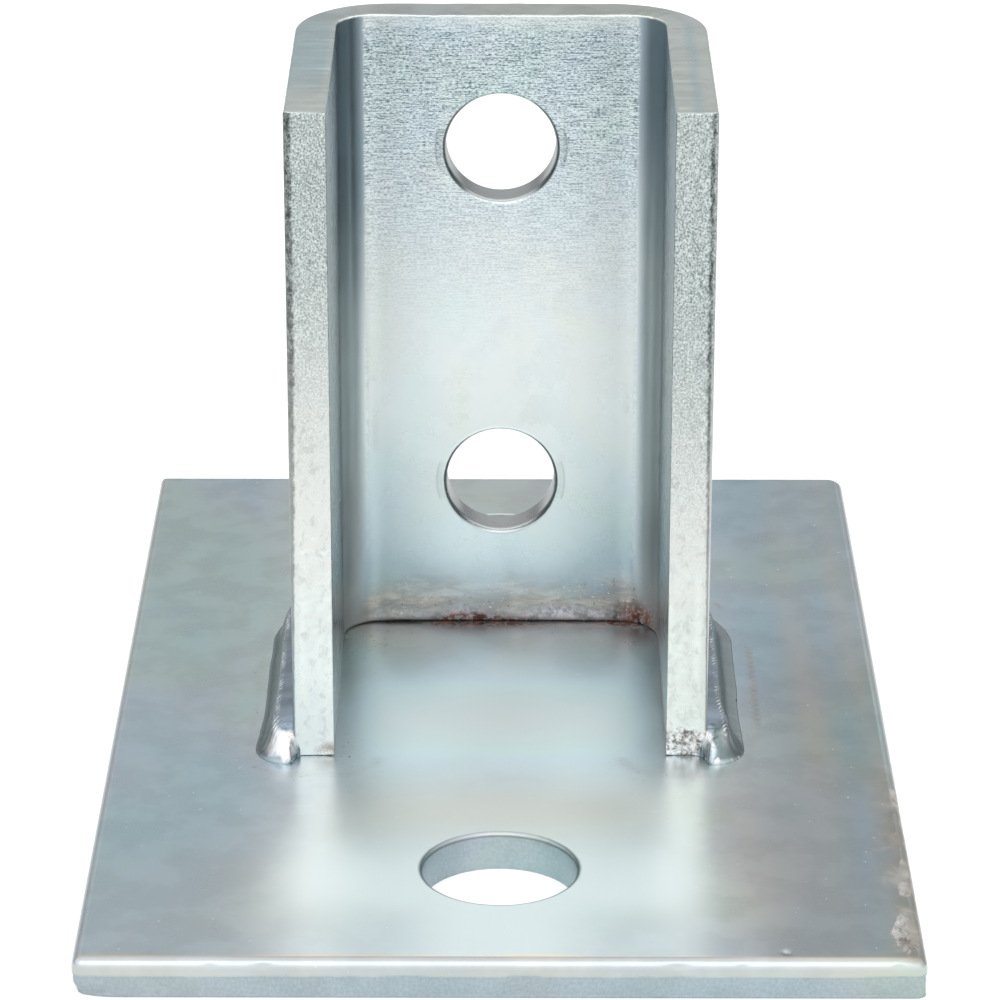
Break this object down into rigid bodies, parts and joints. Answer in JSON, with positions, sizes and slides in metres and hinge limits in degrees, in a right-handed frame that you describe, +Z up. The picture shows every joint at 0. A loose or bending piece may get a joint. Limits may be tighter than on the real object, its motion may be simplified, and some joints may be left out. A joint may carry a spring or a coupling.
{
  "type": "strut post base",
  "caption": "Welded steel post base: a flat plate with anchor holes carries an upright folded U bracket, open at the front, with bolt holes in its web, that holds the foot of a strut post.",
  "frame": {"origin": "middle of the plate's underside", "axes": "+Z up along the post, +Y along the plate's long side towards the bracket's web, so the bracket opens towards -Y, and +X across the plate"},
  "size_m": [0.1016, 0.1524, 0.0923],
  "materials": {
    "plate_zinc": "bright zinc plate over rolled steel, slightly blue with faint rainbow stains",
    "bracket_zinc": "bright zinc plate, brushed and speckled high up, smooth and pale low down",
    "weld_zinc": "zinc plated over weld ripples, grey and satin"
  },
  "bodies": {
    "root": {"base_plate": "plate_zinc", "channel_bracket": "bracket_zinc", "weld_bead": "weld_zinc"}
  },
  "joints": []
}
